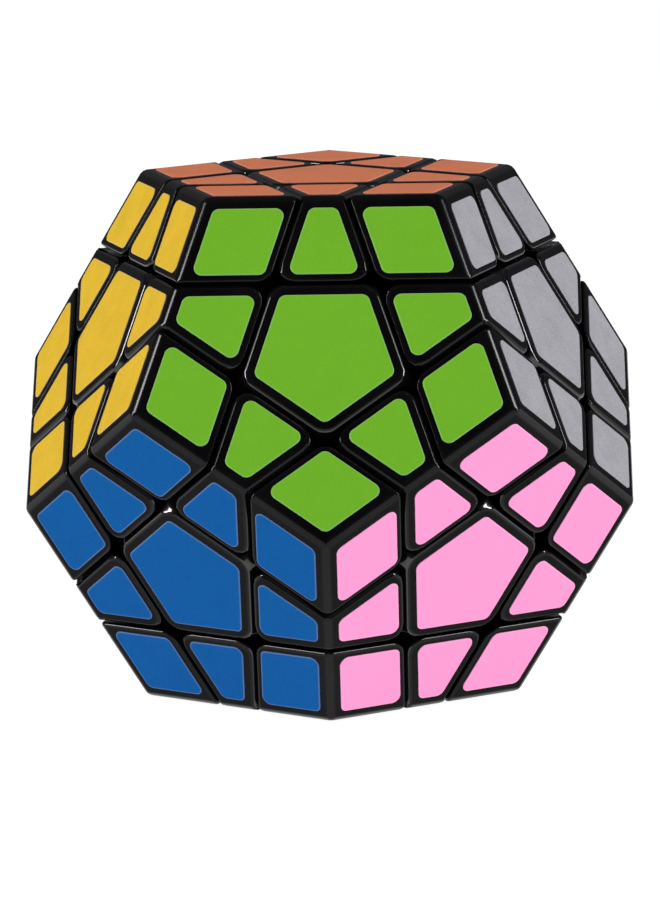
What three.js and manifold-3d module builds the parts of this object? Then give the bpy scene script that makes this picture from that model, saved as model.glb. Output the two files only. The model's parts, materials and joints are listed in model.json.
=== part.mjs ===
// Dodecahedron twisty puzzle: twelve faces, and a layer under each that turns about the face's axis.
// Millimetres, +Z up. It stands on its red face, with its origin at the middle of that face.
//
// Each face has a centre, five edges and five corners. All the cuts between the layers are surfaces
// of revolution about the face axes: a plane outside the sphere FOOT_TOP, a step along that sphere,
// and a cone inside it. The cone is wider than the plane's circle, so every corner has a foot that
// reaches below its edges, and every edge has one that reaches below its centres. A screw with a
// spring holds each centre to the core.

import * as THREE from 'three';
import { mergeVertices } from 'three/addons/utils/BufferGeometryUtils.js';
import Module from 'manifold-3d';

const wasm = await Module();
wasm.setup();

// ---------------------------------------------------------------- driving dimensions

const EDGE = 30.5; // edge of the sharp dodecahedron
const CUT_RATIO = 0.4315; // centre tile's apothem, as a share of the whole face's apothem
const GAP = 0.36; // clearance between neighbouring pieces
const EDGE_CHAMFER = 0.75; // how far the outer edges are taken down
const VERTEX_CHAMFER = 1.9; // how far the outer vertices are taken down

const FOOT_TOP = 31.5; // radius of the sphere that the feet reach up to
const FOOT_ANGLE = THREE.MathUtils.degToRad(48); // half-angle of the cone between the feet
const FOOT_END = 20; // distance from the middle at which edge and corner feet end
const LAYER_SEGMENTS = 20; // facets round each layer's cut

const CENTRE_BLOCK_END = 27; // where a centre's block ends and its stem starts
const STEM_RADIUS = 4.4;
const STEM_END = 17.4;
const SPRING_SEAT = 23; // floor of the chamber for the spring and the screw's head
const CHAMBER_RADIUS = 3.2;
const SCREW_HOLE_RADIUS = 1.5;
const CAP_SEAM = 31.45; // top of the centre's body, where its cap begins
const SPIGOT_RADIUS = 2.7; // plug under the cap, which enters the chamber
const SPIGOT_LENGTH = 1;

const CORE_RADIUS = 11;
const CORE_DETAIL = 1; // subdivisions of the icosahedron that rounds the core
const POST_RADIUS = 3.6;
const POST_END = 17;
const POST_BORE_RADIUS = 1.5;
const POST_BORE_END = 8.5;

const SCREW_TIP = 9.2;
const SCREW_POINT_LENGTH = 1;
const SCREW_SHANK_RADIUS = 1.2;
const SCREW_HEAD_RADIUS = 2.75;
const SCREW_HEAD_START = 27.8;
const SCREW_HEAD_END = 29.4;
const SCREW_SOCKET_RADIUS = 1.1;
const SCREW_SOCKET_DEPTH = 0.9;

const WIRE_RADIUS = 0.27;
const WIRE_HALF_SIDES = 3; // facets round half the wire
const SPRING_RADIUS = 2.1; // to the middle of the wire
const SPRING_TURNS = 4;
const SPRING_STEPS_A_TURN = 9;
const SPRING_CLEARANCE = 0.3; // at each end

const WEB_RADIUS = 2; // hidden web between a static corner and an edge joined to it
const WEB_DISTANCE = 26;

const ROUND_SEGMENTS = 10; // facets round screws, posts and bores

// the three layers that turn: no two of them touch, so they share no piece
const TURNING = ['orange', 'pink', 'dark_green'];

// ---------------------------------------------------------------- the dodecahedron

const PHI = (1 + Math.sqrt(5)) / 2;
const INRADIUS = (EDGE * PHI * PHI) / (2 * Math.sqrt(3 - PHI));
const MIDRADIUS = (EDGE * PHI * PHI) / 2;
const CIRCUMRADIUS = (EDGE * PHI * Math.sqrt(3)) / 2;
const FACE_APOTHEM = EDGE / (2 * Math.tan(Math.PI / 5));
const NEIGHBOUR_COSINE = 1 / Math.sqrt(5); // between the normals of neighbouring faces
const CUT_DISTANCE = (INRADIUS + 2 * CUT_RATIO * FACE_APOTHEM) * NEIGHBOUR_COSINE;
const RING_TILT = Math.atan(0.5); // how far the normals of the two rings lean from level
const FIFTH_TURN = (2 * Math.PI) / 5;
const FAR = 60; // beyond every surface of the object

// Each ring is listed counter-clockwise from above. The upper one starts at the front (-Y), and the
// lower one half a step to the right of it.
const UPPER_RING = ['green', 'grey', 'light_blue', 'purple', 'yellow'];
const LOWER_RING = ['pink', 'cream', 'dark_green', 'white', 'blue'];

function ringNormal(step, tilt) {
  const azimuth = step * FIFTH_TURN - Math.PI / 2;
  const level = Math.cos(tilt);
  return new THREE.Vector3(Math.cos(azimuth) * level, Math.sin(azimuth) * level, Math.sin(tilt));
}

const UP = new THREE.Vector3(0, 0, 1);
const NORMALS = new Map([['orange', UP]]);
UPPER_RING.forEach((face, i) => NORMALS.set(face, ringNormal(i, RING_TILT)));
LOWER_RING.forEach((face, i) => NORMALS.set(face, ringNormal(i + 0.5, -RING_TILT)));
NORMALS.set('red', UP.clone().negate());
const FACES = [...NORMALS.keys()];

const areNeighbours = (a, b) => Math.abs(NORMALS.get(a).dot(NORMALS.get(b)) - NEIGHBOUR_COSINE) < 0.01;
const middleOf = (faces) =>
  faces.reduce((sum, face) => sum.add(NORMALS.get(face)), new THREE.Vector3()).normalize();

// the pairs of faces that share an edge, and the triples that share a vertex
const EDGES = [];
const CORNERS = [];
FACES.forEach((a, i) => {
  const later = FACES.slice(i + 1).filter((b) => areNeighbours(a, b));
  later.forEach((b, j) => {
    EDGES.push([a, b]);
    later.slice(j + 1).forEach((c) => {
      if (areNeighbours(b, c)) CORNERS.push([a, b, c]);
    });
  });
});

// ---------------------------------------------------------------- from geometry to solids and back

function toSolid(geometry) {
  const bare = geometry.clone();
  bare.deleteAttribute('normal');
  bare.deleteAttribute('uv');
  const merged = mergeVertices(bare, 1e-4);
  const triangles = [];
  for (let i = 0; i < merged.index.count; i += 3) {
    const [a, b, c] = [0, 1, 2].map((k) => merged.index.getX(i + k));
    if (a !== b && b !== c && c !== a) triangles.push(a, b, c);
  }
  const vertProperties = merged.attributes.position.array;
  return new wasm.Manifold(
    new wasm.Mesh({ numProp: 3, vertProperties, triVerts: new Uint32Array(triangles) }),
  );
}

function toGeometry(solid) {
  const { vertProperties, triVerts } = solid.getMesh();
  const geometry = new THREE.BufferGeometry();
  geometry.setAttribute('position', new THREE.BufferAttribute(vertProperties, 3));
  geometry.setIndex(new THREE.BufferAttribute(triVerts, 1));
  geometry.computeVertexNormals();
  return geometry;
}

const unionOf = (solids) => solids.reduce((whole, solid) => whole.add(solid));

// turns a geometry that was made along +Y so that it lies along an axis
const lay = (geometry, axis) =>
  geometry.applyQuaternion(new THREE.Quaternion().setFromUnitVectors(new THREE.Vector3(0, 1, 0), axis));

// a round bar on an axis through the middle of the object
function bar(axis, radius, start, end) {
  const geometry = new THREE.CylinderGeometry(radius, radius, end - start, ROUND_SEGMENTS);
  return toSolid(lay(geometry.translate(0, (start + end) / 2, 0), axis));
}

// everything on the near side of a plane
function within(axis, distance) {
  const geometry = new THREE.BoxGeometry(4 * FAR, 2 * FAR, 4 * FAR);
  return toSolid(lay(geometry.translate(0, distance - FAR, 0), axis));
}

// The space of a face's layer, grown by half the gap (side = 1) or shrunk by it (side = -1). The
// facets of a grown one lie outside its circles and those of a shrunk one inside them, so the gap
// stays open however the layer is turned.
function layer(face, side) {
  const offset = (side * GAP) / 2;
  const step = FOOT_TOP + offset;
  const floor = CUT_DISTANCE - offset;
  const stepEnd = Math.acos(floor / step);
  const widen = side > 0 ? 1 / Math.cos(Math.PI / LAYER_SEGMENTS) : 1;
  const onStep = (angle) => new THREE.Vector2(widen * step * Math.sin(angle), step * Math.cos(angle));
  const profile = [
    new THREE.Vector2(0, -offset / Math.sin(FOOT_ANGLE)),
    onStep(FOOT_ANGLE),
    onStep(stepEnd),
    new THREE.Vector2(FAR, floor),
    new THREE.Vector2(FAR, FAR),
    new THREE.Vector2(0, FAR),
  ];
  return toSolid(lay(new THREE.LatheGeometry(profile, LAYER_SEGMENTS), NORMALS.get(face)));
}

// ---------------------------------------------------------------- one piece of each kind
// They are made at the orange, green and grey faces, and turned from there to their places.

const OUTSIDE = [
  ...FACES.map((face) => within(NORMALS.get(face), INRADIUS)),
  ...EDGES.map((faces) => within(middleOf(faces), MIDRADIUS - EDGE_CHAMFER)),
  ...CORNERS.map((faces) => within(middleOf(faces), CIRCUMRADIUS - VERTEX_CHAMFER)),
].reduce((shape, plane) => shape.intersect(plane));

// the part of the outside that belongs to some layers and not to others
function share(inLayers, notInLayers) {
  const kept = inLayers.reduce((solid, face) => solid.intersect(layer(face, -1)), OUTSIDE);
  return notInLayers.reduce((solid, face) => solid.subtract(layer(face, 1)), kept);
}

function makeCentre() {
  return share(['orange'], UPPER_RING)
    .subtract(within(UP, CENTRE_BLOCK_END))
    .add(bar(UP, STEM_RADIUS, STEM_END, CENTRE_BLOCK_END + 1))
    .subtract(bar(UP, CHAMBER_RADIUS, SPRING_SEAT, CAP_SEAM))
    .subtract(bar(UP, SCREW_HOLE_RADIUS, STEM_END - 1, SPRING_SEAT + 1));
}

const makeOpenCentre = (centre) =>
  centre.intersect(within(UP, CAP_SEAM)).subtract(bar(UP, CHAMBER_RADIUS, SPRING_SEAT, CAP_SEAM + 1));

const makeCap = (centre) =>
  centre
    .subtract(within(UP, CAP_SEAM + GAP))
    .add(bar(UP, SPIGOT_RADIUS, CAP_SEAM - SPIGOT_LENGTH, CAP_SEAM + 2 * GAP));

const makeEdge = () =>
  share(['orange', 'green'], ['grey', 'yellow']).subtract(within(middleOf(['orange', 'green']), FOOT_END));

const makeCorner = () =>
  share(['orange', 'green', 'grey'], []).subtract(within(middleOf(['orange', 'green', 'grey']), FOOT_END));

// a pan-head screw with a round socket, from its point up to its head
function makeScrew() {
  const profile = [
    [0, SCREW_TIP],
    [SCREW_SHANK_RADIUS, SCREW_TIP + SCREW_POINT_LENGTH],
    [SCREW_SHANK_RADIUS, SCREW_HEAD_START],
    [SCREW_HEAD_RADIUS, SCREW_HEAD_START],
    [SCREW_HEAD_RADIUS, (SCREW_HEAD_START + SCREW_HEAD_END) / 2],
    [2 * SCREW_SOCKET_RADIUS, SCREW_HEAD_END],
    [SCREW_SOCKET_RADIUS, SCREW_HEAD_END],
    [SCREW_SOCKET_RADIUS, SCREW_HEAD_END - SCREW_SOCKET_DEPTH],
    [0, SCREW_HEAD_END - SCREW_SOCKET_DEPTH],
  ].map(([radius, height]) => new THREE.Vector2(radius, height));
  return lay(new THREE.LatheGeometry(profile, ROUND_SEGMENTS), UP);
}

class SpringPath extends THREE.Curve {
  getPoint(t, target = new THREE.Vector3()) {
    const start = SPRING_SEAT + SPRING_CLEARANCE + WIRE_RADIUS;
    const end = SCREW_HEAD_START - SPRING_CLEARANCE - WIRE_RADIUS;
    const angle = 2 * Math.PI * SPRING_TURNS * t;
    return target.set(
      SPRING_RADIUS * Math.cos(angle),
      SPRING_RADIUS * Math.sin(angle),
      start + (end - start) * t,
    );
  }
}

function makeSpring() {
  const wire = new THREE.Shape().absarc(0, 0, WIRE_RADIUS, 0, 2 * Math.PI);
  return new THREE.ExtrudeGeometry(wire, {
    extrudePath: new SpringPath(),
    steps: SPRING_TURNS * SPRING_STEPS_A_TURN,
    curveSegments: WIRE_HALF_SIDES,
    bevelEnabled: false,
  });
}

// the ball with its twelve posts: three are bored for screws that are pieces of their own, and the
// other nine have their screws driven home
function makeCore(screw) {
  const fixed = FACES.filter((face) => !TURNING.includes(face));
  const solids = [
    toSolid(new THREE.IcosahedronGeometry(CORE_RADIUS, CORE_DETAIL)),
    ...FACES.map((face) => bar(NORMALS.get(face), POST_RADIUS, 0, POST_END)),
    ...fixed.map((face) => toSolid(screw.clone().applyMatrix4(turnTo(face)))),
  ];
  const bores = TURNING.map((face) => bar(NORMALS.get(face), POST_BORE_RADIUS, POST_BORE_END, FAR));
  return bores.reduce((core, bore) => core.subtract(bore), unionOf(solids));
}

// ---------------------------------------------------------------- places

// the frame whose Z is a face's normal, and whose X leans towards its neighbour's
function frameAt(face, neighbour) {
  const z = NORMALS.get(face);
  const y = z.clone().cross(NORMALS.get(neighbour)).normalize();
  return new THREE.Matrix4().makeBasis(y.clone().cross(z), y, z);
}

// the turn that takes orange to the first of some faces, green to the second, and grey to the third
function turnTo(...faces) {
  const [first, second, third] = faces;
  const neighbour = second ?? FACES.find((face) => areNeighbours(face, first));
  const clockwise =
    third && NORMALS.get(first).clone().cross(NORMALS.get(second)).dot(NORMALS.get(third)) < 0;
  const home = frameAt('orange', 'green');
  return frameAt(first, clockwise ? third : neighbour).multiply(home.transpose());
}

// ---------------------------------------------------------------- the assembly

const plastic = new THREE.MeshStandardMaterial({ color: 0x0d0d0f, roughness: 0.22, metalness: 0 });
const corePlastic = new THREE.MeshStandardMaterial({ color: 0x2a2a2d, roughness: 0.45, metalness: 0 });
const steel = new THREE.MeshStandardMaterial({ color: 0xb9bcc0, roughness: 0.3, metalness: 1 });

const centre = makeCentre();
const centreGeometry = toGeometry(centre);
const openCentreGeometry = toGeometry(makeOpenCentre(centre));
const capGeometry = toGeometry(makeCap(centre));
const edgeGeometry = toGeometry(makeEdge());
const cornerGeometry = toGeometry(makeCorner());
const screwGeometry = makeScrew();
const springGeometry = makeSpring();

const puzzle = new THREE.Group();
puzzle.position.z = INRADIUS;

function place(name, geometry, material, faces) {
  const mesh = new THREE.Mesh(geometry, material);
  mesh.name = name;
  if (faces) mesh.setRotationFromMatrix(turnTo(...faces));
  puzzle.add(mesh);
}

place('core', toGeometry(makeCore(screwGeometry)), corePlastic);

FACES.forEach((face) => {
  if (!TURNING.includes(face)) {
    place(`centre_${face}`, centreGeometry, plastic, [face]);
    return;
  }
  place(`centre_${face}`, openCentreGeometry, plastic, [face]);
  place(`centre_cap_${face}`, capGeometry, plastic, [face]);
  place(`screw_${face}`, screwGeometry, steel, [face]);
  place(`spring_${face}`, springGeometry, steel, [face]);
});

// Each static corner is joined to those of its edges that no corner before it has taken. The web
// lies in their feet, below the outer shape.
const isStatic = (faces) => !faces.some((face) => TURNING.includes(face));
const taken = new Set();

function joinToEdges(corner) {
  const edges = EDGES.filter((edge) => edge.every((face) => corner.includes(face)) && !taken.has(edge));
  edges.forEach((edge) => taken.add(edge));
  const solids = [toSolid(cornerGeometry.clone().applyMatrix4(turnTo(...corner)))];
  edges.forEach((edge) => {
    const start = middleOf(corner).multiplyScalar(WEB_DISTANCE);
    const end = middleOf(edge).multiplyScalar(WEB_DISTANCE);
    const span = end.clone().sub(start);
    const web = new THREE.CylinderGeometry(WEB_RADIUS, WEB_RADIUS, span.length(), ROUND_SEGMENTS);
    lay(web, span.normalize()).translate(...start.add(end).divideScalar(2).toArray());
    solids.push(toSolid(edgeGeometry.clone().applyMatrix4(turnTo(...edge))), toSolid(web));
  });
  return toGeometry(unionOf(solids));
}

CORNERS.forEach((corner) => {
  const name = `corner_${corner.join('_')}`;
  if (isStatic(corner)) place(`${name}_with_edges`, joinToEdges(corner), plastic);
  else place(name, cornerGeometry, plastic, corner);
});
EDGES.filter((edge) => !taken.has(edge)).forEach((edge) =>
  place(`edge_${edge.join('_')}`, edgeGeometry, plastic, edge),
);

export default puzzle;
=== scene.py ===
"""Dodecahedron twisty puzzle: 62 moulded pieces with their caps and stickers, and the mechanism inside.

Shapes are made in millimetres about the middle of the dodecahedron, where the layers' axes cross.
One centre, one edge and one corner are made at the orange, green and grey faces, and what lies
along an axis is made along Z. Their copies are turned to their places and brought to metres there.
"""

import json
import math

import bmesh
import bpy
from mathutils import Matrix, Vector


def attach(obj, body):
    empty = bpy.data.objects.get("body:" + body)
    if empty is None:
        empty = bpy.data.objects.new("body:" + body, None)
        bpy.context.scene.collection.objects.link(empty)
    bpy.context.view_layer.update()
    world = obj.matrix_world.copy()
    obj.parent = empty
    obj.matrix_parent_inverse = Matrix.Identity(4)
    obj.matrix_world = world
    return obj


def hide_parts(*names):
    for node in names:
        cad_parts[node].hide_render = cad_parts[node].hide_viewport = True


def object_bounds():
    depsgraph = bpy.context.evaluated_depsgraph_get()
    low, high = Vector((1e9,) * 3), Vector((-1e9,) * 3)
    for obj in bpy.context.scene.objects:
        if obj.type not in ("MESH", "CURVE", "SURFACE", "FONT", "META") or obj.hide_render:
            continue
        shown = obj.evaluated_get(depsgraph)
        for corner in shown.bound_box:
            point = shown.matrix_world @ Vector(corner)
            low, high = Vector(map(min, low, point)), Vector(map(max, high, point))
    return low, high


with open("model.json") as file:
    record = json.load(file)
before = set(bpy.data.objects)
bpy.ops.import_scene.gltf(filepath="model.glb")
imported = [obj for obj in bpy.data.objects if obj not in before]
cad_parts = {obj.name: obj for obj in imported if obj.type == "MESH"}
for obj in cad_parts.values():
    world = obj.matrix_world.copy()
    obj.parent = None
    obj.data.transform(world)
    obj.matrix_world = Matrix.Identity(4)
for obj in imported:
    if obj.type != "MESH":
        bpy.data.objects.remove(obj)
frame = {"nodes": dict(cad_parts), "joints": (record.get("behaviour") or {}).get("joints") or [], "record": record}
cad_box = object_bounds()

MIDDLE = Vector(frame["joints"][0]["pos_m"])  # where the axes cross, in metres

# ---------------------------------------------------------------- sizes, in millimetres

# A name that ends in START, END, TIP, TOP, SEAM or SEAT is a distance from the middle.

PHI = (1 + math.sqrt(5)) / 2
INRADIUS = 1000 * (cad_box[1].z - cad_box[0].z) / 2
EDGE = INRADIUS * 2 * math.sqrt(3 - PHI) / PHI**2
FACE_APOTHEM = EDGE / (2 * math.tan(math.pi / 5))
CUT_APOTHEM = 0.4315 * FACE_APOTHEM  # from a face's middle to the cuts across it
NEIGHBOUR_COSINE = 1 / math.sqrt(5)
CUT_DISTANCE = (INRADIUS + 2 * CUT_APOTHEM) * NEIGHBOUR_COSINE
GAP = 0.36  # between neighbouring pieces

STICKER_THICKNESS = 0.1
STICKER_INSET = 1.38  # from the middle of a gap
STICKER_OUTER_INSET = 1.62  # from the sharp edge of the dodecahedron
STICKER_CORNER = 1.05
STICKER_RIM = 0.08  # width of the round at the cut edge
STICKER_RUB = 0.24  # and of the band beside it that is rubbed pale

SURFACE = INRADIUS - STICKER_THICKNESS  # distance of the plastic's faces
BLUNT_ROUND = 2.5  # radius of the upright edges where two cuts meet bluntly
SHARP_ROUND = 1.7  # and where they meet sharply
OUTER_ROUND = 1.35  # radius along the edges of the dodecahedron
RIM_ROUND = 0.62  # radius of the round beside a gap
RIM_REACH = 0.8  # the most that this round reaches into a tile
ROUND_STEPS = 4
FAR = 60  # beyond every surface of the object

FOOT_ANGLE = math.radians(48)  # half-angle of the cones between the feet
FOOT_TOP = 31.5  # radius of the sphere that the feet reach up to
FOOT_END = 20
CENTRE_BLOCK_END = 27
STEM_RADIUS = 4.4
STEM_END = 17.4
CHAMBER_RADIUS = 3.2  # of the room for the spring and the screw's head
SPRING_SEAT = 23
SCREW_HOLE_RADIUS = 1.5
CAP_SEAM = 31.45
CAP_SEAM_WIDTH = 0.08
SPIGOT_RADIUS = 2.9
SPIGOT_LENGTH = 1.4

CORE_RADIUS = 11
POST_RADIUS = 3.6
POST_END = 17
POST_BORE_RADIUS = 1.3
POST_BORE_END = 8.5

SCREW_TIP = 9.2
SCREW_RADIUS = 1.2
SCREW_HEAD_RADIUS = 2.75
SCREW_HEAD_START = 27.8
SCREW_HEAD_END = 29.4
THREAD_DEPTH = 0.16
THREAD_PITCH = 0.7
THREAD_END = 18
WIRE_RADIUS = 0.27
SPRING_RADIUS = 2.1  # of the middle of its wire
CLEARANCE = 0.02  # between the turns and seats of the spring

# ---------------------------------------------------------------- marks on the moulded pieces

OUTER, CUT = 0, 1  # material indices of a block's faces
LARGE_FACE = 5  # square millimetres
OUTER_POLISH = 0.2  # of the rounds along the dodecahedron, against those beside the gaps

# ---------------------------------------------------------------- the faces and their pieces

UPPER_RING = ("green", "grey", "light_blue", "purple", "yellow")
LOWER_RING = ("pink", "cream", "dark_green", "white", "blue")
RING_TILT = math.atan(0.5)  # how far the normals of the two rings lean from level


def ring_normal(step, tilt):
    azimuth = math.radians(72 * step - 90)
    level = math.cos(tilt)
    return Vector((math.cos(azimuth) * level, math.sin(azimuth) * level, math.sin(tilt)))


UP = Vector((0, 0, 1))
NORMALS = {"orange": UP}
NORMALS.update({face: ring_normal(i, RING_TILT) for i, face in enumerate(UPPER_RING)})
NORMALS.update({face: ring_normal(i + 0.5, -RING_TILT) for i, face in enumerate(LOWER_RING)})
NORMALS["red"] = -UP
FACES = list(NORMALS)


def are_neighbours(a, b):
    return abs(NORMALS[a].dot(NORMALS[b]) - NEIGHBOUR_COSINE) < 0.01


EDGES = [(a, b) for i, a in enumerate(FACES) for b in FACES[i + 1 :] if are_neighbours(a, b)]
CORNERS = [
    (a, b, c)
    for a, b in EDGES
    for c in FACES[FACES.index(b) + 1 :]
    if are_neighbours(a, c) and are_neighbours(b, c)
]


def middle_of(faces):
    return sum((NORMALS[face] for face in faces), Vector()).normalized()


def frame_at(face, neighbour):
    """The turn to the axes whose Z is a face's normal, and whose X leans towards a neighbour's."""
    z = NORMALS[face]
    y = z.cross(NORMALS[neighbour]).normalized()
    return Matrix((y.cross(z), y, z)).transposed()


def turn_to(faces):
    """The turn that takes orange, green and grey to these faces, as far as they are given. The last
    two of a corner change places where they come in the other order about it."""
    first = faces[0]
    second = faces[1] if len(faces) > 1 else next(f for f in FACES if are_neighbours(f, first))
    if len(faces) > 2 and NORMALS[first].cross(NORMALS[second]).dot(NORMALS[faces[2]]) < 0:
        second = faces[2]
    return (frame_at(first, second) @ frame_at("orange", "green").transposed()).to_4x4()


BODIES = frame["record"]["behaviour"]["bodies"]
CORE_BODY = next(body for body, nodes in BODIES.items() if "core" in nodes)


def body_for(faces):
    """The body of a piece: the layer that turns with one of its faces, or the core's."""
    layers = [f"{face}_layer" for face in faces if f"{face}_layer" in BODIES]
    return layers[0] if layers else CORE_BODY


def node_for(kind, faces):
    """The CAD node of an edge or a corner: its own, or the still corner that it is joined to."""
    own = "_".join((kind, *faces))
    joined = ["_".join(("corner", *c)) + "_with_edges" for c in CORNERS if set(faces) <= set(c)]
    return next(node for node in (own, *joined) if node in frame["nodes"])


# ---------------------------------------------------------------- mesh tools


def finished(bm):
    mesh = bpy.data.meshes.new("mesh")
    bm.to_mesh(mesh)
    bm.free()
    return mesh


def with_modifier(mesh, kind, **settings):
    """A copy of a mesh with one modifier applied."""
    worker = bpy.data.objects.new("worker", mesh)
    bpy.context.scene.collection.objects.link(worker)
    modifier = worker.modifiers.new(kind.lower(), kind)
    for name, value in settings.items():
        setattr(modifier, name, value)
    graph = bpy.context.evaluated_depsgraph_get()
    result = bpy.data.meshes.new_from_object(worker.evaluated_get(graph), depsgraph=graph)
    bpy.data.objects.remove(worker)
    return result


def combined(mesh, operation, other):
    """A copy of a mesh with another one joined to it, cut from it, or kept only where both are."""
    tool = bpy.data.objects.new("tool", other)
    bpy.context.scene.collection.objects.link(tool)
    result = with_modifier(mesh, "BOOLEAN", object=tool, operation=operation, solver="EXACT")
    bpy.data.objects.remove(tool)
    return result


def turned(mesh, axis):
    """The same mesh, turned so that what was made along Z lies along an axis."""
    mesh.transform(UP.rotation_difference(axis).to_matrix().to_4x4())
    return mesh


def lathe(profile, segments):
    """A closed surface about Z. Its profile, radius and height, starts and ends on the axis."""
    bm = bmesh.new()
    rings = []
    for radius, height in profile:
        turns = range(segments if radius else 1)
        angles = [2 * math.pi * i / segments for i in turns]
        verts = [bm.verts.new((radius * math.cos(a), radius * math.sin(a), height)) for a in angles]
        rings.append(verts if radius else verts * segments)
    for low, high in zip(rings, rings[1:]):
        for i in range(segments):
            j = (i + 1) % segments
            bm.faces.new(dict.fromkeys((low[i], low[j], high[j], high[i])))
    bmesh.ops.recalc_face_normals(bm, faces=bm.faces)
    return finished(bm)


def arc(centre, radius, start, end, steps):
    """Points along an arc, in degrees from the first axis towards the second."""
    angles = [math.radians(start + (end - start) * i / steps) for i in range(steps + 1)]
    return [(centre[0] + radius * math.cos(a), centre[1] + radius * math.sin(a)) for a in angles]


def ball(radius):
    """A ball, turned a little so that its edges lie along none of the axes."""
    bm = bmesh.new()
    tilt = Matrix.Rotation(0.4, 4, Vector((1, 2, 3)))
    bmesh.ops.create_icosphere(bm, subdivisions=5, radius=radius, matrix=tilt)
    return finished(bm)


def block(*groups):
    """A convex solid within groups of planes, each a normal and a distance. Its faces take their
    material index from their group."""
    bm = bmesh.new()
    bmesh.ops.create_cube(bm, size=5 * FAR)
    for index, planes in enumerate(groups):
        for normal, distance in planes:
            cut = bmesh.ops.bisect_plane(
                bm,
                geom=bm.verts[:] + bm.edges[:] + bm.faces[:],
                plane_co=normal * distance,
                plane_no=normal,
                clear_outer=True,
            )
            rim = [part for part in cut["geom_cut"] if isinstance(part, bmesh.types.BMEdge)]
            for face in bmesh.ops.contextual_create(bm, geom=rim)["faces"]:
                face.material_index = index
    bmesh.ops.recalc_face_normals(bm, faces=bm.faces)
    return finished(bm)


def rounded(mesh, width_of, segments):
    """A copy with rounded edges. width_of takes an edge's two faces, and gives how far the round
    reaches into them."""
    bm = bmesh.new()
    bm.from_mesh(mesh)
    layers = bm.edges.layers.float
    weight = layers.get("bevel_weight_edge") or layers.new("bevel_weight_edge")
    widths = [width_of(*edge.link_faces) for edge in bm.edges]
    for edge, width in zip(bm.edges, widths):
        edge[weight] = width / max(widths)
    return with_modifier(
        finished(bm),
        "BEVEL",
        limit_method="WEIGHT",
        width=max(widths),
        segments=segments,
        use_clamp_overlap=False,
    )


def smoothed(mesh):
    """A copy that is shaded smooth but for its sharp edges, with its large faces kept flat. The
    attribute polish is 0 on the large faces, and highest on the rounds beside the gaps."""
    bm = bmesh.new()
    bm.from_mesh(mesh)
    bmesh.ops.dissolve_degenerate(bm, dist=1e-4, edges=bm.edges[:])
    polish = bm.verts.layers.float.new("polish")
    for vert in bm.verts:
        if all(face.calc_area() < LARGE_FACE for face in vert.link_faces):
            beside_gap = all(face.material_index == CUT for face in vert.link_faces)
            vert[polish] = 1 if beside_gap else OUTER_POLISH
    for face in bm.faces:
        face.smooth = True
        face.material_index = 0
    for edge in bm.edges:
        edge.smooth = edge.calc_face_angle(0) < math.radians(40)
    return with_modifier(finished(bm), "WEIGHTED_NORMAL", keep_sharp=True, weight=100)


# ---------------------------------------------------------------- the moulded pieces


def edge_round(a, b):
    """The width of the round at an edge of a block: along the dodecahedron, or between two cuts."""
    angle = a.normal.angle(b.normal)
    if a.material_index != b.material_index:
        return 0
    if a.material_index == OUTER:
        radius = OUTER_ROUND
    else:
        radius = BLUNT_ROUND if angle < math.pi / 2 else SHARP_ROUND
    return radius * math.tan(angle / 2)


def rim_round(a, b):
    """The width of the round beside a gap. It stays the same along an edge of the dodecahedron, where
    the angle dips a little."""
    if a.material_index == b.material_index:
        return 0
    angle = max(a.normal.angle(b.normal), math.acos(NEIGHBOUR_COSINE))
    return min(RIM_REACH, RIM_ROUND * math.tan(angle / 2))


def rounded_block(inside, outside, extra=()):
    """What lies inside some layers and outside others, with its edges rounded."""
    outer = [(NORMALS[face], SURFACE) for face in inside]
    cuts = [(-NORMALS[face], -CUT_DISTANCE - GAP / 2) for face in inside]
    cuts += [(NORMALS[face], CUT_DISTANCE - GAP / 2) for face in outside]
    plain = block(outer, [*cuts, *extra])
    return rounded(rounded(plain, edge_round, ROUND_STEPS), rim_round, ROUND_STEPS)


def cone(face, side):
    """The cone that a layer's feet fill, grown by half the gap (side = 1) or shrunk (side = -1)."""
    apex = -side * GAP / 2 / math.sin(FOOT_ANGLE)
    profile = [(0, apex), (FAR * math.tan(FOOT_ANGLE), FAR + apex), (0, FAR + apex)]
    return turned(lathe(profile, 72), NORMALS[face])


def make_outer_piece(inside, outside):
    """An edge or a corner: its block, hollowed for the feet of the layers it isn't in, and its foot."""
    piece = rounded_block(inside, outside)
    foot = ball(FOOT_TOP - GAP / 2)
    for face in inside:
        foot = combined(foot, "INTERSECT", cone(face, -1))
    for face in outside:
        foot = combined(foot, "DIFFERENCE", cone(face, 1))
        room = combined(ball(FOOT_TOP + GAP / 2), "INTERSECT", cone(face, 1))
        piece = combined(piece, "DIFFERENCE", room)
    foot = combined(foot, "DIFFERENCE", block([(middle_of(inside), FOOT_END)]))
    return smoothed(combined(piece, "UNION", foot))


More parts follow.
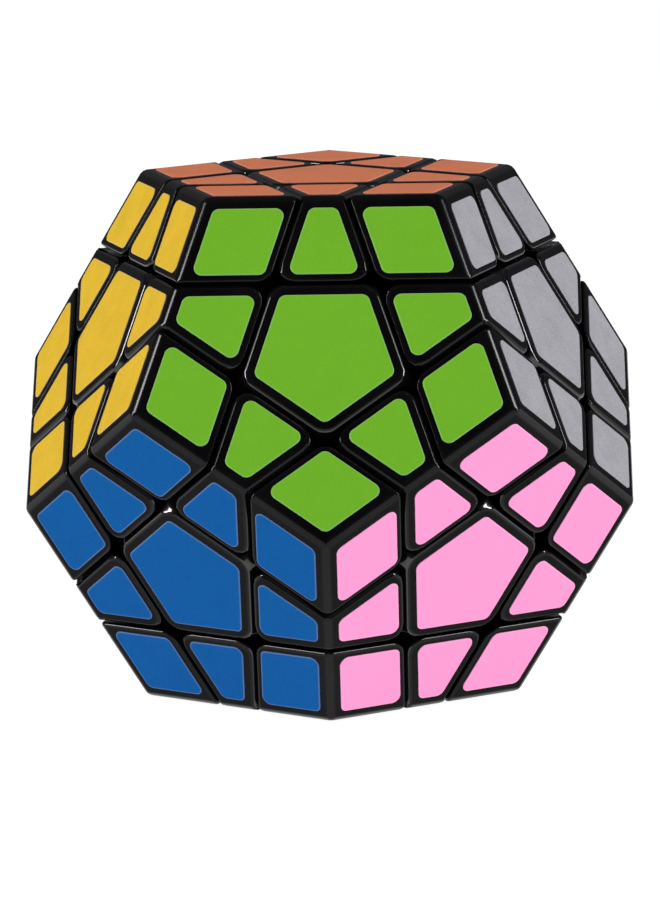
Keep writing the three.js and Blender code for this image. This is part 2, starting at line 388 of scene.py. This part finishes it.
def make_centre():
    """The centre's body and its cap, which meet at the seam. Inside the sphere of the feet, a tapered
    plug is left between the cones."""
    beyond = 1  # how far a solid reaches past what it joins or cuts
    stem_rim, stem_fillet, spigot_rim = 0.4, 1, 0.3
    plug_end = CAP_SEAM - 0.4
    chamfer, chamfer_end = 0.35, CAP_SEAM + 0.05
    whole = rounded_block(["orange"], UPPER_RING, [(-UP, -CENTRE_BLOCK_END)])
    whole = combined(whole, "DIFFERENCE", ball(FOOT_TOP + GAP / 2))
    taper = math.acos(NEIGHBOUR_COSINE) - FOOT_ANGLE
    apex = GAP / 2 / math.sin(taper)
    ends = [((height - apex) * math.tan(taper), height) for height in (CENTRE_BLOCK_END, plug_end)]
    plug = [(0, CENTRE_BLOCK_END), *ends, (0, plug_end)]
    whole = combined(whole, "UNION", lathe(plug, 60))
    stem = [
        (0, STEM_END),
        *arc((STEM_RADIUS - stem_rim, STEM_END + stem_rim), stem_rim, -90, 0, 3),
        *arc((STEM_RADIUS + stem_fillet, CENTRE_BLOCK_END - stem_fillet), stem_fillet, 180, 90, 4),
        (STEM_RADIUS + stem_fillet, CENTRE_BLOCK_END + beyond),
        (0, CENTRE_BLOCK_END + beyond),
    ]
    bore = [
        (0, STEM_END - beyond),
        (SCREW_HOLE_RADIUS, STEM_END - beyond),
        (SCREW_HOLE_RADIUS, SPRING_SEAT),
        (CHAMBER_RADIUS, SPRING_SEAT),
        (CHAMBER_RADIUS, chamfer_end - chamfer),
        (CHAMBER_RADIUS + chamfer, chamfer_end),
        (0, chamfer_end),
    ]
    spigot_end = CAP_SEAM - SPIGOT_LENGTH
    spigot = [
        (0, spigot_end),
        *arc((SPIGOT_RADIUS - spigot_rim, spigot_end + spigot_rim), spigot_rim, -90, 0, 3),
        (SPIGOT_RADIUS, CAP_SEAM + 0.5 * beyond),
        (0, CAP_SEAM + 0.5 * beyond),
    ]
    body = combined(whole, "DIFFERENCE", block([(-UP, -CAP_SEAM)]))
    body = combined(body, "UNION", lathe(stem, 48))
    body = combined(body, "DIFFERENCE", lathe(bore, 48))
    cap = combined(whole, "DIFFERENCE", block([(UP, CAP_SEAM + CAP_SEAM_WIDTH)]))
    cap = combined(cap, "UNION", lathe(spigot, 48))
    return smoothed(body), smoothed(cap)


# ---------------------------------------------------------------- stickers


def tile_outline(sides, inset, corner):
    """The outline of a tile: sides as the bearing of their outward normals, their distance and their
    inset, with round corners. Further inset, its corners get tighter."""
    sides = sorted(sides)
    points = []
    for (bearing, distance, own_inset), following in zip(sides, sides[1:] + sides[:1]):
        next_bearing = following[0] if following[0] > bearing else following[0] + 360
        turn = math.radians(next_bearing - bearing)
        near = distance - own_inset - corner
        far = following[1] - following[2] - corner
        along = (far - near * math.cos(turn)) / math.sin(turn)
        a = math.radians(bearing)
        centre = (near * math.cos(a) - along * math.sin(a), near * math.sin(a) + along * math.cos(a))
        points += arc(centre, corner - inset, bearing, next_bearing, 8)
    return points


def make_sticker(sides):
    """A thin sheet on the orange face, with its rim marked by the attribute cut_edge."""
    rings = [(0, SURFACE)]
    rings += [
        (STICKER_RIM - radius, INRADIUS - STICKER_RIM + height)
        for radius, height in arc((0, 0), STICKER_RIM, 0, 90, 3)
    ]
    rings += [(STICKER_RUB, INRADIUS)]
    bm = bmesh.new()
    marks = bm.verts.layers.float.new("cut_edge")
    loops = []
    for inset, height in rings:
        outline = tile_outline(sides, inset, STICKER_CORNER)
        loops.append([bm.verts.new((x, y, height)) for x, y in outline])
        for vert in loops[-1]:
            vert[marks] = 1 - inset / STICKER_RUB
    for low, high in zip(loops, loops[1:]):
        for i in range(len(low)):
            bm.faces.new((low[i - 1], low[i], high[i], high[i - 1]))
    bm.faces.new(loops[-1])
    bm.faces.new(loops[0][::-1])
    return smoothed(finished(bm))


BEARINGS = {
    face: math.degrees(math.atan2(NORMALS[face].y, NORMALS[face].x)) % 360 for face in UPPER_RING
}


def cut_side(face, beyond):
    """The side of a tile along the cut next to a face: the tile lies beyond the cut, or within it."""
    if beyond:
        return ((BEARINGS[face] + 180) % 360, -CUT_APOTHEM, STICKER_INSET)
    return (BEARINGS[face], CUT_APOTHEM, STICKER_INSET)


def outer_side(face):
    """The side of a tile along the dodecahedron's edge next to a face."""
    return (BEARINGS[face], FACE_APOTHEM, STICKER_OUTER_INSET)


# ---------------------------------------------------------------- the mechanism


def make_core():
    """A ball with twelve posts, each bored for its screw."""
    root, fillet, rim, chamfer, drill_point = 4, 1.6, 0.4, 0.5, 0.6
    post = [
        (0, CORE_RADIUS - root),
        (POST_RADIUS + 1, CORE_RADIUS - root),
        *arc((POST_RADIUS + fillet, CORE_RADIUS + 1.2), fillet, 225, 180, 4),
        *arc((POST_RADIUS - rim, POST_END - rim), rim, 0, 90, 3),
        (POST_BORE_RADIUS + chamfer, POST_END),
        (POST_BORE_RADIUS, POST_END - chamfer),
        (POST_BORE_RADIUS, POST_BORE_END + drill_point),
        (0, POST_BORE_END),
    ]
    room_radius, room_end = 2, CORE_RADIUS + 1
    room = [(0, POST_BORE_END), (room_radius, POST_BORE_END), (room_radius, room_end), (0, room_end)]
    core = ball(CORE_RADIUS)
    for face in FACES:
        core = combined(core, "DIFFERENCE", turned(lathe(room, 12), NORMALS[face]))
        core = combined(core, "UNION", turned(lathe(post, 32), NORMALS[face]))
    return smoothed(core)


def make_slot(bearing):
    """What one slot of the cross takes from a screw's head. Its ends lean inwards as they go down."""
    half_width, depth, end_lean = 0.24, 1.1, 0.35
    end_distance = 1.05 - 0.33 * SCREW_HEAD_END  # along the leaning normal of an end
    across = Vector((math.cos(bearing), math.sin(bearing), 0))
    beside = UP.cross(across)
    ends = [((across * side - UP * end_lean).normalized(), end_distance) for side in (1, -1)]
    walls = [(beside * side, half_width) for side in (1, -1)]
    return block(ends + walls + [(UP, SCREW_HEAD_END + 0.2), (-UP, -(SCREW_HEAD_END - depth))])


def make_screw():
    """A pan-head screw with a cross recess, and a thread that starts narrower at its point."""
    turn_steps, rows_a_turn = 18, 6
    point_length, point_taper, taper_a_turn = 1, 0.5, 0.4
    neck_fillet, head_rim, head_dome = 0.25, 0.15, 1
    rows = round((THREAD_END - SCREW_TIP - point_length) / THREAD_PITCH * rows_a_turn)
    bm = bmesh.new()
    rings = [[bm.verts.new((0, 0, SCREW_TIP))] * turn_steps]
    for row in range(rows + 1):
        ring = []
        for i in range(turn_steps):
            phase = (row / rows_a_turn - i / turn_steps) % 1
            depth = THREAD_DEPTH * abs(2 * phase - 1) if row < rows else 0
            radius = SCREW_RADIUS - depth - max(0, point_taper - row / rows_a_turn * taper_a_turn)
            angle = 2 * math.pi * i / turn_steps
            height = SCREW_TIP + point_length + row * THREAD_PITCH / rows_a_turn
            ring.append(bm.verts.new((radius * math.cos(angle), radius * math.sin(angle), height)))
        rings.append(ring)
    neck_end = SCREW_HEAD_START - neck_fillet
    head = [
        (SCREW_RADIUS, neck_end),
        *arc((SCREW_RADIUS + neck_fillet, neck_end), neck_fillet, 180, 90, 3)[1:],
        *arc((SCREW_HEAD_RADIUS - head_rim, SCREW_HEAD_START + head_rim), head_rim, -90, 0, 3),
        *arc((SCREW_HEAD_RADIUS - head_dome, SCREW_HEAD_END - head_dome), head_dome, 0, 90, 6),
    ]
    for radius, height in head:
        angles = [2 * math.pi * i / turn_steps for i in range(turn_steps)]
        rings.append([bm.verts.new((radius * math.cos(a), radius * math.sin(a), height)) for a in angles])
    rings.append([bm.verts.new((0, 0, SCREW_HEAD_END))] * turn_steps)
    for low, high in zip(rings, rings[1:]):
        for i in range(turn_steps):
            bm.faces.new(dict.fromkeys((low[i - 1], low[i], high[i], high[i - 1])))
    bmesh.ops.recalc_face_normals(bm, faces=bm.faces)
    screw = finished(bm)
    for bearing in (0, 90):
        screw = combined(screw, "DIFFERENCE", make_slot(math.radians(bearing)))
    return smoothed(screw)


def make_spring():
    """Round wire in six turns, with the last turn at each end lying flat."""
    turns, steps_a_turn, sides = 6, 24, 10
    start = SPRING_SEAT + WIRE_RADIUS + CLEARANCE
    end = SCREW_HEAD_START - WIRE_RADIUS - CLEARANCE
    flat_rise = 2 * WIRE_RADIUS + CLEARANCE
    bm = bmesh.new()
    rings = []
    for step in range(turns * steps_a_turn + 1):
        turn = step / steps_a_turn
        open_share = (min(max(turn, 1), turns - 1) - 1) / (turns - 2)
        height = start + flat_rise * (min(turn, 1) + max(turn - turns + 1, 0))
        height += (end - start - 2 * flat_rise) * open_share
        a = 2 * math.pi * turn
        ring = []
        for out, up in arc((SPRING_RADIUS, height), WIRE_RADIUS, 0, 360, sides)[:-1]:
            ring.append(bm.verts.new((out * math.cos(a), out * math.sin(a), up)))
        rings.append(ring)
    for low, high in zip(rings, rings[1:]):
        for i in range(sides):
            bm.faces.new((low[i - 1], low[i], high[i], high[i - 1]))
    bm.faces.new(rings[0])
    bm.faces.new(rings[-1])
    bmesh.ops.recalc_face_normals(bm, faces=bm.faces)
    return smoothed(finished(bm))


# ---------------------------------------------------------------- materials


class Surface:
    """A material under construction: its nodes, and the shader that they lead to."""

    def __init__(self, name, **sockets):
        self.material = bpy.data.materials.new(name)
        self.material.use_nodes = True
        self.nodes = self.material.node_tree.nodes
        self.links = self.material.node_tree.links
        self.shader = self.nodes["Principled BSDF"]
        self.place = self.node("ShaderNodeTexCoord").outputs["Object"]
        for socket, value in sockets.items():
            self.shader.inputs[socket.replace("_", " ")].default_value = value

    def node(self, kind, inputs=(), **settings):
        node = self.nodes.new(kind)
        for name, value in settings.items():
            setattr(node, name, value)
        for socket, value in dict(inputs).items():
            if isinstance(value, bpy.types.NodeSocket):
                self.links.new(value, node.inputs[socket])
            else:
                node.inputs[socket].default_value = value
        return node

    def noise(self, size, detail=3, rough=0.55, stretch=None):
        """Noise with features of a size in millimetres, as 0 to 1."""
        place = self.place
        if stretch:
            place = self.node("ShaderNodeMapping", {"Vector": place, "Scale": stretch}).outputs["Vector"]
        inputs = {"Vector": place, "Scale": 1000 / size, "Detail": detail, "Roughness": rough}
        return self.node("ShaderNodeTexNoise", inputs).outputs["Fac"]

    def between(self, value, low, high, start=0.3, end=0.7):
        """A value taken from one range to another."""
        inputs = {"Value": value, "From Min": start, "From Max": end, "To Min": low, "To Max": high}
        return self.node("ShaderNodeMapRange", inputs).outputs["Result"]

    def blend(self, share, first, second):
        """A colour that goes from one to another as the share goes from 0 to 1."""
        node = self.node("ShaderNodeMix", data_type="RGBA")
        # its sockets go by number, since their names repeat for each type of data
        for socket, value in ((node.inputs[0], share), (node.inputs[6], first), (node.inputs[7], second)):
            if isinstance(value, bpy.types.NodeSocket):
                self.links.new(value, socket)
            else:
                socket.default_value = value
        return node.outputs[2]

    def sum(self, a, b):
        return self.node("ShaderNodeMath", {0: a, 1: b}, operation="ADD").outputs["Value"]

    def times(self, a, b):
        return self.node("ShaderNodeMath", {0: a, 1: b}, operation="MULTIPLY").outputs["Value"]

    def finish(self, colour, roughness, height, depth):
        """Links the shader: colour, roughness, and a relief of a depth in millimetres."""
        self.links.new(colour, self.shader.inputs["Base Color"])
        self.links.new(roughness, self.shader.inputs["Roughness"])
        bump = self.node("ShaderNodeBump", {"Height": height, "Distance": depth / 1000, "Strength": 1.0})
        self.links.new(bump.outputs["Normal"], self.shader.inputs["Normal"])
        return self.material


def shade(colour, factor):
    return (*(min(1, channel * factor) for channel in colour), 1)


def towards_white(colour, share):
    return (*(channel + (1 - channel) * share for channel in colour), 1)


def make_black_abs():
    """Moulded plastic: slight flow marks, fine hairlines and dust. Its rounds are polished by handling,
    as the attribute polish says."""
    s = Surface("black_abs", IOR=1.5, Specular_IOR_Level=0.05, Coat_Roughness=0.1, Coat_IOR=1.65)
    polish = s.node("ShaderNodeAttribute", attribute_name="polish").outputs["Fac"]
    s.links.new(polish, s.shader.inputs["Coat Weight"])
    flow = s.noise(9, 2)
    grain = s.noise(0.35, 3)
    hairlines = s.noise(0.5, 2, stretch=(1, 0.06, 1))
    dust = s.between(s.noise(0.25, 2, 0.5), 0, 1, 0.66, 0.74)
    colour = s.blend(s.between(flow, 0, 1), (0.002, 0.0018, 0.0022, 1), (0.0045, 0.004, 0.0048, 1))
    colour = s.blend(s.times(dust, 0.08), colour, (0.10, 0.095, 0.09, 1))
    roughness = s.sum(s.between(flow, 0.14, 0.19), s.between(hairlines, 0, 0.06, 0.45, 0.75))
    height = s.sum(s.times(grain, 0.6), s.times(hairlines, 0.4))
    return s.finish(colour, roughness, height, 0.004)


def make_core_plastic():
    """The core's nylon: dark grey and matt, with a fine spark-eroded grain."""
    s = Surface("core_plastic", IOR=1.53)
    colour = s.blend(s.between(s.noise(5, 3), 0, 1), (0.021, 0.021, 0.023, 1), (0.034, 0.034, 0.037, 1))
    roughness = s.between(s.noise(1.5, 3), 0.42, 0.56)
    return s.finish(colour, roughness, s.noise(0.22, 4), 0.012)


def make_steel(name, tint, low, high):
    """Plated steel wire or screw: fine drawing lines and a faint uneven tint."""
    s = Surface(name, Metallic=1.0)
    colour = s.blend(s.between(s.noise(1.2, 3), 0, 1), shade(tint, 0.86), shade(tint, 1))
    roughness = s.between(s.noise(0.4, 3), low, high)
    return s.finish(colour, roughness, s.noise(0.12, 2, stretch=(1, 1, 0.2)), 0.003)


def make_vinyl(face, colour, grain_size, grain, roughness):
    """A printed vinyl sticker: fine grain, faint mottling, rubbed and paler near its cut edge."""
    s = Surface(f"sticker_{face}", IOR=1.46, Specular_IOR_Level=0.04)
    fine = s.noise(grain_size, 4, 0.6)
    mottle = s.noise(3.5, 3)
    pale, deep = shade(colour, 1 + 0.2 * grain), shade(colour, 1 - 0.2 * grain)
    printed = s.blend(s.between(mottle, 0, 1), deep, pale)
    printed = s.blend(s.between(fine, 0, grain, 0.35, 0.65), printed, shade(colour, 1.7))
    rim = s.node("ShaderNodeAttribute", attribute_name="cut_edge").outputs["Fac"]
    printed = s.blend(s.between(rim, 0, 1, 0.1, 0.7), printed, towards_white(colour, 0.1))
    gloss = s.sum(s.between(mottle, roughness - 0.03, roughness + 0.03), s.between(fine, 0, 0.06))
    return s.finish(printed, gloss, fine, 0.006)


# base colour, size of the grain in millimetres, its strength, and the roughness of each vinyl
VINYLS = {
    "orange": ((0.875, 0.249, 0.120), 0.25, 0.22, 0.34),
    "green": ((0.180, 0.497, 0.027), 0.30, 0.08, 0.38),
    "grey": ((0.286, 0.282, 0.304), 0.20, 0.55, 0.42),
    "light_blue": ((0.120, 0.420, 0.700), 0.30, 0.08, 0.38),
    "purple": ((0.145, 0.030, 0.300), 0.30, 0.08, 0.38),
    "yellow": ((0.640, 0.400, 0.027), 0.20, 0.30, 0.40),
    "pink": ((0.930, 0.317, 0.600), 0.30, 0.05, 0.40),
    "cream": ((0.640, 0.560, 0.310), 0.30, 0.08, 0.40),
    "dark_green": ((0.010, 0.140, 0.050), 0.30, 0.08, 0.38),
    "white": ((0.640, 0.640, 0.630), 0.30, 0.06, 0.40),
    "blue": ((0.0004, 0.083, 0.292), 0.45, 0.20, 0.38),
    "red": ((0.560, 0.012, 0.015), 0.30, 0.08, 0.38),
}

MATERIALS = {
    "black_abs": make_black_abs(),
    "core_plastic": make_core_plastic(),
    "screw_steel": make_steel("screw_steel", (0.62, 0.63, 0.65), 0.22, 0.34),
    "spring_steel": make_steel("spring_steel", (0.52, 0.53, 0.55), 0.26, 0.40),
}
for face_name, (base, grain_mm, strength, satin) in VINYLS.items():
    MATERIALS[f"sticker_{face_name}"] = make_vinyl(face_name, base, grain_mm, strength, satin)

# ---------------------------------------------------------------- the assembly


def place(name, mesh, slot, faces, body, replaced=None):
    """Puts a copy of a mesh at its place, riding on a body, and standing for a CAD node if one is
    given."""
    copy = mesh.copy()
    copy.name = name
    copy.transform(Matrix.Translation(MIDDLE) @ turn_to(faces) @ Matrix.Scale(0.001, 4))
    copy.materials.clear()
    copy.materials.append(MATERIALS[slot])
    piece = bpy.data.objects.new(name, copy)
    bpy.context.scene.collection.objects.link(piece)
    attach(piece, body)
    if replaced:
        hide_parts(replaced)


core = make_core()
screw = make_screw()
spring = make_spring()
centre_body, centre_cap = make_centre()
edge = make_outer_piece(["orange", "green"], ["grey", "yellow"])
corner = make_outer_piece(["orange", "green", "grey"], [])

centre_sticker = make_sticker([cut_side(face, False) for face in UPPER_RING])
edge_sticker = make_sticker(
    [outer_side("green"), cut_side("green", True), cut_side("grey", False), cut_side("yellow", False)]
)
corner_sticker = make_sticker(
    [outer_side("green"), outer_side("grey"), cut_side("green", True), cut_side("grey", True)]
)

place("core_moulding", core, "core_plastic", ["orange"], CORE_BODY, "core")
for face in FACES:
    loose = f"screw_{face}" in frame["nodes"]
    screw_node = f"screw_{face}" if loose else "core"
    spring_node = f"spring_{face}" if loose else None
    cap_node = f"centre_cap_{face}" if loose else f"centre_{face}"
    body = body_for([face])
    place(f"screw_{face}_threaded", screw, "screw_steel", [face], CORE_BODY, screw_node)
    place(f"spring_{face}_wound", spring, "spring_steel", [face], CORE_BODY, spring_node)
    place(f"centre_{face}_moulding", centre_body, "black_abs", [face], body, f"centre_{face}")
    place(f"centre_cap_{face}_moulding", centre_cap, "black_abs", [face], body, cap_node)
    place(f"sticker_{face}_centre", centre_sticker, f"sticker_{face}", [face], body)

for faces in EDGES:
    name = "_".join(faces)
    body = body_for(faces)
    place(f"edge_{name}_moulding", edge, "black_abs", faces, body, node_for("edge", faces))
    for own, other in (faces, faces[::-1]):
        place(f"sticker_{own}_edge_{other}", edge_sticker, f"sticker_{own}", (own, other), body)

for faces in CORNERS:
    name = "_".join(faces)
    body = body_for(faces)
    place(f"corner_{name}_moulding", corner, "black_abs", faces, body, node_for("corner", faces))
    for own in faces:
        others = [face for face in faces if face != own]
        label = f"sticker_{own}_corner_{'_'.join(others)}"
        place(label, corner_sticker, f"sticker_{own}", (own, *others), body)

# ---------------------------------------------------------------- floor, light and camera

FLOOR_HALF = 4  # metres
LIGHT_DISTANCE = 0.9  # from the puzzle's middle, in metres
SIDE_SOFTBOX = (0.12, 0.6)  # width and height, in metres
TOP_SOFTBOX = (0.05, 0.05)

CAMERA_DISTANCE = 0.90275  # metres
CAMERA_YAW = 0.019747  # this and the next two in radians
CAMERA_PITCH = 0.172831
CAMERA_ROLL = -0.016459
CAMERA_SHIFT = (-0.000074, -0.002728)  # of the camera across its view, in metres
CAMERA_LENS = 274.0  # millimetres


def make_floor():
    """White paper with a glow of its own, for the plain white round the puzzle in the photo."""
    bm = bmesh.new()
    bmesh.ops.create_grid(bm, x_segments=8, y_segments=8, size=FLOOR_HALF)
    floor = bpy.data.objects.new("floor", finished(bm))
    bpy.context.scene.collection.objects.link(floor)
    s = Surface("floor_paper", Specular_IOR_Level=0.2)
    shader = s.shader.inputs
    shader["Emission Color"].default_value = (1, 1, 1, 1)
    shader["Emission Strength"].default_value = 0.93
    tone = s.blend(s.noise(60, 2), (0.26, 0.26, 0.26, 1), (0.28, 0.28, 0.28, 1))
    floor.data.materials.append(s.finish(tone, s.between(s.noise(8, 2), 0.7, 0.8), s.noise(1.5, 3), 0.01))


def add_softbox(name, bearing, elevation, size, power):
    """A rectangular soft light that faces the puzzle. Its bearing is in degrees from the camera's side
    towards the right, its elevation in degrees, and its power in watts."""
    light = bpy.data.lights.new(name, "AREA")
    light.shape = "RECTANGLE"
    light.size, light.size_y = size
    light.energy = power
    lamp = bpy.data.objects.new(name, light)
    bpy.context.scene.collection.objects.link(lamp)
    a, e = math.radians(bearing), math.radians(elevation)
    direction = Vector((math.sin(a) * math.cos(e), -math.cos(a) * math.cos(e), math.sin(e)))
    lamp.location = MIDDLE + direction * LIGHT_DISTANCE
    lamp.rotation_euler = direction.to_track_quat("Z", "Y").to_euler()


def make_world():
    world = bpy.data.worlds.new("studio")
    world.use_nodes = True
    bpy.context.scene.world = world
    background = world.node_tree.nodes["Background"]
    background.inputs["Color"].default_value = (0.95, 0.95, 1.0, 1)
    background.inputs["Strength"].default_value = 0.12


def make_camera():
    """The camera looks along forward, turned about it by the roll, and is moved a little sideways."""
    yaw, pitch = CAMERA_YAW, CAMERA_PITCH
    forward = Vector(
        (-math.sin(yaw) * math.cos(pitch), math.cos(yaw) * math.cos(pitch), -math.sin(pitch))
    )
    level = forward.cross(UP).normalized()
    upright = level.cross(forward)
    right = level * math.cos(CAMERA_ROLL) + upright * math.sin(CAMERA_ROLL)
    data = bpy.data.cameras.new("camera")
    data.lens = CAMERA_LENS
    data.clip_start = 0.01
    camera = bpy.data.objects.new("camera", data)
    bpy.context.scene.collection.objects.link(camera)
    shifted = level * CAMERA_SHIFT[0] + upright * CAMERA_SHIFT[1]
    turn = Matrix((right, right.cross(forward), -forward)).transposed().to_4x4()
    camera.matrix_world = Matrix.Translation(MIDDLE - forward * CAMERA_DISTANCE + shifted) @ turn
    bpy.context.scene.camera = camera


make_floor()
make_world()
add_softbox("left_softbox", -78, 24, SIDE_SOFTBOX, 5.9)
add_softbox("right_softbox", 78, 24, SIDE_SOFTBOX, 5.9)
add_softbox("top_softbox", 25, 62, TOP_SOFTBOX, 0.11)
make_camera()

view = bpy.context.scene.view_settings
view.view_transform = "Standard"
view.look = "None"
